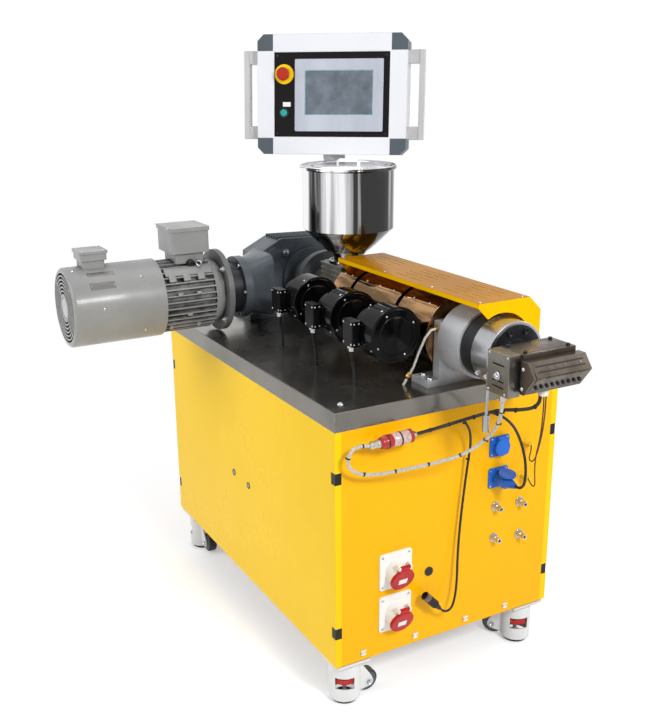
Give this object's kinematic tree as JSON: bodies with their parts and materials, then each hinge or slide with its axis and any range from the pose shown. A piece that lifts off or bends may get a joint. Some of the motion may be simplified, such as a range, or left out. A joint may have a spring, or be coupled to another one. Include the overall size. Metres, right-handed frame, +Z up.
{
  "type": "plastic extruder",
  "caption": "Laboratory single-screw extruder on a wheeled cabinet, with a side motor and gearbox, hopper, cooled barrel, sheet die and swivelling control panel.",
  "frame": {"origin": "on the floor below the middle of the whole machine", "axes": "+X the way the plastic leaves the die, +Z up, the motor stands out towards -Y"},
  "size_m": [1.458, 1.1316, 1.7529],
  "materials": {
    "yellow_paint": "semi-gloss powder coat",
    "yellow_sheet": "semi-gloss powder coat",
    "frame_paint": "satin light grey paint",
    "table_steel": "brushed stainless",
    "hopper_steel": "polished stainless with fine brushing",
    "cover_steel": "polished stainless",
    "bright_steel": "ground steel",
    "dark_steel": "blackened steel",
    "grey_casting": "satin grey paint on casting",
    "gear_paint": "satin blue-grey enamel",
    "motor_paint": "satin blue-grey enamel",
    "black_plastic": "moulded",
    "housing_white": "moulded nylon",
    "wheel_black": "moulded",
    "foot_black": "moulded rubber and red adjusting ring",
    "box_aluminium": "light grey coated profile",
    "corner_grey": "moulded",
    "panel_black": "matte black sheet",
    "screen_grey": "screen and bezel",
    "collar_yellow": "moulded",
    "button_red": "moulded",
    "button_teal": "moulded",
    "socket_white": "moulded",
    "lid_red": "moulded",
    "socket_blue": "moulded",
    "fitting_nickel": "nickel plated, with yellow moulded jack plugs",
    "cable_black": "moulded cable sheath",
    "cable_white": "white and grey glass fibre sleeving",
    "lead_brown": "braided brown lead",
    "coupling_red": "clear and red moulded coupling, black plug",
    "die_steel": "ground tool steel",
    "sheet_steel": "bare sheet"
  },
  "bodies": {
    "machine": {"frame": "frame_paint", "left_side_panel": "yellow_paint", "right_side_panel": "yellow_paint", "front_panel": "yellow_paint", "rear_panel": "yellow_paint", "panel_pulls": "black_plastic", "table_top": "table_steel", "levelling_feet": "foot_black", "motor_housing": "motor_paint", "motor_fan_cover": "motor_paint", "motor_terminal_boxes": "motor_paint", "motor_adapter": "dark_steel", "gearbox": "gear_paint", "thrust_housing": "bright_steel", "feed_throat": "bright_steel", "barrel": "bright_steel", "heater_covers": "cover_steel", "barrel_support": "grey_casting", "flange_band": "dark_steel", "clamp_ring": "bright_steel", "die_adapter": "dark_steel", "die_body": "die_steel", "die_plates": "die_steel", "die_terminal_box": "sheet_steel", "guard": "yellow_sheet", "hopper": "hopper_steel", "hopper_lid": "hopper_steel", "blowers": "sheet_steel", "blower_boxes": "grey_casting", "panel_post": "box_aluminium", "power_sockets": "socket_white", "supply_sockets": "socket_blue", "panel_fittings": "fitting_nickel", "die_cable": "cable_black", "box_cable": "cable_white", "hanging_cable": "cable_black", "supply_cable": "cable_black", "thermocouple_leads": "lead_brown", "blower_leads": "cable_black", "cable_fittings": "coupling_red"},
    "panel_box": {"box_swivel": "corner_grey", "box_frame": "box_aluminium", "box_corners": "corner_grey", "box_panel": "panel_black", "screen_bezel": "screen_grey", "button_collars": "collar_yellow", "box_handles": "corner_grey"},
    "stop_button": {"stop_button": "button_red"},
    "start_button": {"start_button": "button_teal"},
    "power_lid_upper": {"power_lid_upper": "lid_red"},
    "power_lid_lower": {"power_lid_lower": "lid_red"},
    "supply_lid": {"supply_lid_upper": "socket_blue"},
    "caster_front_left": {"caster_housing_front_left": "housing_white"},
    "wheel_front_left": {"caster_wheel_front_left": "wheel_black"},
    "caster_front_right": {"caster_housing_front_right": "housing_white"},
    "wheel_front_right": {"caster_wheel_front_right": "wheel_black"},
    "caster_rear_left": {"caster_housing_rear_left": "housing_white"},
    "wheel_rear_left": {"caster_wheel_rear_left": "wheel_black"},
    "caster_rear_right": {"caster_housing_rear_right": "housing_white"},
    "wheel_rear_right": {"caster_wheel_rear_right": "wheel_black"}
  },
  "joints": [
    {"name": "caster_swivel_front_left", "type": "hinge", "parent": "machine", "child": "caster_front_left", "pos_m": [0.347, -0.0895, 0.09], "axis": [0, 0, 1], "continuous": true},
    {"name": "wheel_spin_front_left", "type": "hinge", "parent": "caster_front_left", "child": "wheel_front_left", "pos_m": [0.347, -0.0235, 0.0365], "axis": [-1, 0, 0], "continuous": true},
    {"name": "caster_swivel_front_right", "type": "hinge", "parent": "machine", "child": "caster_front_right", "pos_m": [0.347, 0.5065, 0.09], "axis": [0, 0, 1], "continuous": true},
    {"name": "wheel_spin_front_right", "type": "hinge", "parent": "caster_front_right", "child": "wheel_front_right", "pos_m": [0.29499, 0.46587, 0.0365], "axis": [0.6157, -0.788, 0], "continuous": true},
    {"name": "caster_swivel_rear_left", "type": "hinge", "parent": "machine", "child": "caster_rear_left", "pos_m": [-0.673, -0.0895, 0.09], "axis": [0, 0, 1], "continuous": true},
    {"name": "wheel_spin_rear_left", "type": "hinge", "parent": "caster_rear_left", "child": "wheel_rear_left", "pos_m": [-0.607, -0.0895, 0.0365], "axis": [0, 1, 0], "continuous": true},
    {"name": "caster_swivel_rear_right", "type": "hinge", "parent": "machine", "child": "caster_rear_right", "pos_m": [-0.673, 0.5065, 0.09], "axis": [0, 0, 1], "continuous": true},
    {"name": "wheel_spin_rear_right", "type": "hinge", "parent": "caster_rear_right", "child": "wheel_rear_right", "pos_m": [-0.64, 0.44934, 0.0365], "axis": [0.866, 0.5, 0], "continuous": true},
    {"name": "panel_swivel", "type": "hinge", "parent": "machine", "child": "panel_box", "pos_m": [-0.43569, 0.32991, 1.36], "axis": [0, 0, 1], "range_deg": [-40, 80]},
    {"name": "stop_press", "type": "slide", "parent": "panel_box", "child": "stop_button", "axis": [-0.764, 0.6388, -0.0906], "range_m": [0, 0.004]},
    {"name": "start_press", "type": "slide", "parent": "panel_box", "child": "start_button", "axis": [-0.764, 0.6388, -0.0906], "range_m": [0, 0.003], "stiffness_N_per_m": 500},
    {"name": "power_lid_upper_hinge", "type": "hinge", "parent": "machine", "child": "power_lid_upper", "pos_m": [0.45119, 0.0335, 0.41265], "axis": [0, -1, 0], "range_deg": [0, 100], "stiffness_Nm_per_rad": 0.05, "springref_deg": -57.3},
    {"name": "power_lid_lower_hinge", "type": "hinge", "parent": "machine", "child": "power_lid_lower", "pos_m": [0.45119, 0.0335, 0.28715], "axis": [0, -1, 0], "range_deg": [0, 100], "stiffness_Nm_per_rad": 0.05, "springref_deg": -57.3},
    {"name": "supply_lid_hinge", "type": "hinge", "parent": "machine", "child": "supply_lid", "pos_m": [0.417, 0.365, 0.697], "axis": [0, -1, 0], "range_deg": [0, 90], "stiffness_Nm_per_rad": 0.02, "springref_deg": -57.3}
  ]
}
